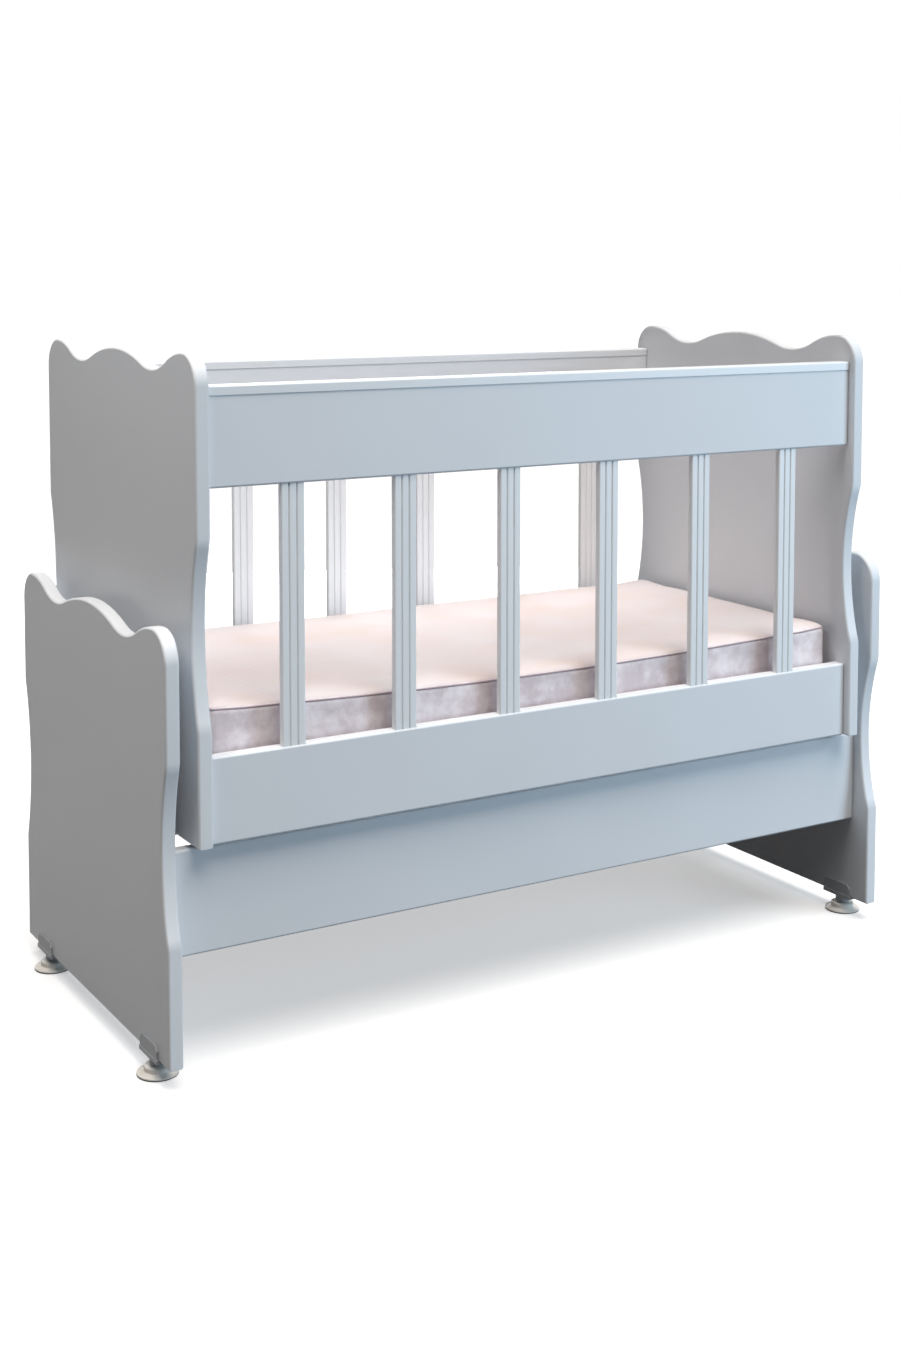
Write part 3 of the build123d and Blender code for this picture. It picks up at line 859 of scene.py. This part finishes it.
class CRADLE_OT_fittings(bpy.types.Operator):
    """Pivot plates, their nuts and screws, and the cam fittings"""

    bl_idname = "cradle.fittings"
    bl_label = "Fittings"

    def execute(self, context):
        plated = metal("steel_zinc_plated", "BFC2C4", 0.25, 0.42, 4, 0.01)
        cast = metal("zinc_die_cast", "A9ABAE", 0.4, 0.55, 1.2, 0.03)
        for body in ("stand", "cradle"):
            ease(f"{body}_pivot_plates", body, "plated_steel", plated, sizes().metal_round)
            ease(f"{body}_pivot_nuts", body, "plated_steel", plated, 0.5 * sizes().metal_round)
            paint(NODES[f"{body}_cam_bolts"], plated)
            paint(NODES[f"{body}_cam_locks"], cast)
            self.screws(body, plated)
        return {"FINISHED"}

    def screws(self, body, plated):
        """Two screws through each pivot plate, above and below its stud."""
        low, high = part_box(f"{body}_pivot_plates")
        half = sizes().plate_width / 2
        reach = sizes().screw_spacing / 2
        outwards = 1 if body == "cradle" else -1
        board_low, board_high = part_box(f"{body}_end_right")
        face = board_high.x if outwards > 0 else board_low.x
        seat = face + outwards * sizes().plate_thickness
        middle = (low.z + high.z) / 2
        places = []
        for sign in ENDS.values():
            turn = 0 if sign * outwards > 0 else math.pi
            for y in (low.y + half, high.y - half):
                for z in (middle - reach, middle + reach):
                    places.append(((sign * seat, y, z), turn))
        master = screw_master(sizes().screw_head)
        paint(master, plated)
        finish(repeated(master, places), f"{body}_plate_screws", body, "plated_steel")


# Feet


def foot_piece(node, side, end, plastic, dark_base):
    """Turned foot with a dished disc, a hub and a stem, its lowest part dark and matt."""
    low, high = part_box(node)
    centre = (low + high) / 2
    disc = (high.x - low.x) / 2
    rim, dish, hub = sizes().foot_rim, sizes().foot_dish, sizes().foot_hub
    hub_height, stem = sizes().foot_hub_height, sizes().foot_stem
    middle = (centre.x, centre.y, rim / 2)
    bpy.ops.mesh.primitive_cylinder_add(vertices=64, radius=disc, depth=rim, location=middle)
    piece = bpy.context.active_object

    def is_top(face):
        return face.normal.z > 0.9 and face.calc_center_median().xy.length < 0.1 * MM

    def on_rim(edge):
        outer = all(abs(vertex.co.xy.length - disc) < 0.05 * MM for vertex in edge.verts)
        return outer and edge.calc_face_angle(0) > 1

    lip, groove, fillet, chamfer = 1.2 * MM, 0.8 * MM, 1.5 * MM, 0.8 * MM
    groove_depth, wall = 0.6 * MM, 0.001 * MM
    profile = (
        (lip, 0),
        (groove, -groove_depth),
        (disc - hub - lip - groove - fillet, dish + groove_depth - chamfer),
        (fillet, chamfer),
        (wall, hub_height - 2 * chamfer),
        (chamfer, chamfer),
        (hub - stem - chamfer, 0),
    )
    edit(piece)
    pick_faces(piece, is_top)
    for thickness, depth in profile:
        bpy.ops.mesh.inset(thickness=thickness, depth=depth)
    rise = (0, 0, high.z - rim - dish - hub_height)
    bpy.ops.mesh.extrude_region_move(TRANSFORM_OT_translate={"value": rise})
    bpy.ops.mesh.select_mode(type="EDGE")
    pick_edges(piece, on_rim)
    bpy.ops.mesh.bevel(offset=0.7 * MM, segments=3, affect="EDGES")
    bpy.ops.mesh.select_all(action="SELECT")
    # The cut marks off the lowest part of the foot, which is drawn dark and matt
    bpy.ops.mesh.bisect(plane_co=(centre.x, centre.y, sizes().foot_dark_base), plane_no=(0, 0, 1))
    leave()
    paint(piece, plastic, dark_base)
    for face in piece.data.polygons:
        if face.center.z + rim / 2 < sizes().foot_dark_base:
            face.material_index = 1
    smooth(piece, 35)
    return finish(piece, f"foot_{side}_{end}_turned", f"foot_{side}_{end}", "foot_plastic", node)


class CRADLE_OT_feet(bpy.types.Operator):
    """Clips on the stand's bottom edges and the levelling feet in them"""

    bl_idname = "cradle.feet"
    bl_label = "Feet"

    def execute(self, context):
        clip_plastic = moulded_plastic("polypropylene_clip_moulded", colours().clip)
        foot_plastic = moulded_plastic("polypropylene_foot_moulded", colours().foot)
        dark_base = darkened_foot_base()
        for side in SIDES:
            for end in ENDS:
                clip = f"foot_clip_{side}_{end}"
                ease(clip, "stand", "white_plastic", clip_plastic, sizes().plastic_round)
                foot_piece(f"levelling_foot_{side}_{end}", side, end, foot_plastic, dark_base)
        return {"FINISHED"}


# Stage

CAMERA_PLACE = (-1.2886, -2.128, 0.936)
CAMERA_TURN = (85.75, 0, -30.8)
CAMERA_LENS = 48.79
CAMERA_SHIFT = -0.2056


def background_rays(tree):
    """1 for the rays that see the background as such: from the camera, a mirror or glass."""
    path = add(tree, "ShaderNodeLightPath").outputs
    seen = calculate(tree, "MAXIMUM", path["Is Camera Ray"], path["Is Glossy Ray"])
    return calculate(tree, "MAXIMUM", seen, path["Is Transmission Ray"])


def paint_world():
    """White behind the object, and a soft even light from all round."""
    world = bpy.data.worlds.new("studio")
    bpy.context.scene.world = world
    world.use_nodes = True
    tree = world.node_tree
    tree.nodes.clear()
    light = add(tree, "ShaderNodeBackground", Color=(*linear("F0F2F6"), 1), Strength=0.07)
    white = add(tree, "ShaderNodeBackground", Color=(1, 1, 1, 1), Strength=1)
    seen = background_rays(tree)
    mixed = add(tree, "ShaderNodeMixShader", _0=seen, _1=light.outputs[0], _2=white.outputs[0])
    add(tree, "ShaderNodeOutputWorld", Surface=mixed.outputs[0])


def floor_paper():
    """Matt paper: white to the eye, and grey to the light that it throws back on the object."""
    material, tree, shader = new_material("paper_backdrop", Roughness=1, Specular_IOR_Level=0)
    shader.inputs["Emission Color"].default_value = (1, 1, 1, 1)
    shader.inputs["Emission Strength"].default_value = 0.45
    fibres = speckle(tree, 8)
    pale = tint(tree, fibres, linear("D9D9D9"), linear("DCDCDC"))
    tree.links.new(pale, shader.inputs["Base Color"])
    dark = add(tree, "ShaderNodeBsdfDiffuse", Color=(*linear("303032"), 1))
    seen = background_rays(tree)
    mixed = add(tree, "ShaderNodeMixShader", _0=seen, _1=dark.outputs[0], _2=shader.outputs[0])
    tree.links.new(mixed.outputs[0], tree.nodes["Material Output"].inputs["Surface"])
    return material


def sun(name, direction, strength, value, degrees):
    """Soft distant lamp that shines from a direction."""
    bpy.ops.object.light_add(type="SUN")
    lamp = bpy.context.active_object
    lamp.name = name
    lamp.data.energy = strength * math.pi
    lamp.data.color = linear(value)
    lamp.data.angle = math.radians(degrees)
    lamp.rotation_mode = "QUATERNION"
    lamp.rotation_quaternion = Vector(direction).to_track_quat("Z", "Y")


def softbox(name, place, target, watts, value, side):
    """Square lamp at a place, turned to a target and hidden from the camera."""
    bpy.ops.object.light_add(type="AREA", location=place)
    lamp = bpy.context.active_object
    lamp.name = name
    lamp.data.energy = watts
    lamp.data.color = linear(value)
    lamp.data.size = side
    lamp.visible_camera = False
    lamp.rotation_mode = "QUATERNION"
    lamp.rotation_quaternion = (Vector(place) - Vector(target)).to_track_quat("Z", "Y")


class CRADLE_OT_stage(bpy.types.Operator):
    """Floor, lamps and camera"""

    bl_idname = "cradle.stage"
    bl_label = "Stage"

    def execute(self, context):
        bpy.ops.mesh.primitive_plane_add(size=60, location=(0, 0, -0.5 * MM))
        floor = bpy.context.active_object
        floor.name = "floor"
        paint(floor, floor_paper())
        paint_world()
        sun("overhead", (0, 0.12, 1), 0.24, "FFF3E8", 12)
        sun("key", (0.06, -0.5, 1.1), 0.76, "FFFAF4", 40)
        softbox("front_fill", (2.2, -2.6, 0.9), (0.3, -0.2, 0.5), 54, "CBE9FF", 1.5)
        softbox("side", (-1.3, -0.4, 1.9), (-0.5, 0, 0.5), 9.5, "FFFDFB", 0.6)
        softbox("rear_fill", (1.2, 2.8, 0.45), (0.1, 0.2, 0.45), 55, "F2F6FF", 1.5)
        bpy.ops.object.camera_add(location=CAMERA_PLACE)
        camera = context.active_object
        camera.rotation_euler = [math.radians(angle) for angle in CAMERA_TURN]
        camera.data.sensor_width = 36
        camera.data.lens = CAMERA_LENS
        camera.data.shift_y = CAMERA_SHIFT
        context.scene.camera = camera
        context.scene.view_settings.view_transform = "Standard"
        return {"FINISHED"}


OPERATORS = (
    CRADLE_OT_boards,
    CRADLE_OT_rail_caps,
    CRADLE_OT_slats,
    CRADLE_OT_mattress,
    CRADLE_OT_base,
    CRADLE_OT_links,
    CRADLE_OT_fittings,
    CRADLE_OT_feet,
    CRADLE_OT_stage,
)


class CRADLE_PT_panel(bpy.types.Panel):
    """Lists the steps that build the cradle"""

    bl_idname = "CRADLE_PT_panel"
    bl_label = "Bedside cradle"
    bl_space_type = "VIEW_3D"
    bl_region_type = "UI"
    bl_category = "Cradle"

    def draw(self, context):
        for operator in OPERATORS:
            self.layout.operator(operator.bl_idname)


CLASSES = (CradleSizes, CradleColours, *OPERATORS, CRADLE_PT_panel)


def register():
    for item in CLASSES:
        bpy.utils.register_class(item)
    bpy.types.Scene.cradle_sizes = bpy.props.PointerProperty(type=CradleSizes)
    bpy.types.Scene.cradle_colours = bpy.props.PointerProperty(type=CradleColours)


def unregister():
    del bpy.types.Scene.cradle_sizes
    del bpy.types.Scene.cradle_colours
    for item in reversed(CLASSES):
        bpy.utils.unregister_class(item)


def main():
    register()
    for operator in OPERATORS:
        group, name = operator.bl_idname.split(".")
        getattr(getattr(bpy.ops, group), name)()


if __name__ == "__main__":
    main()
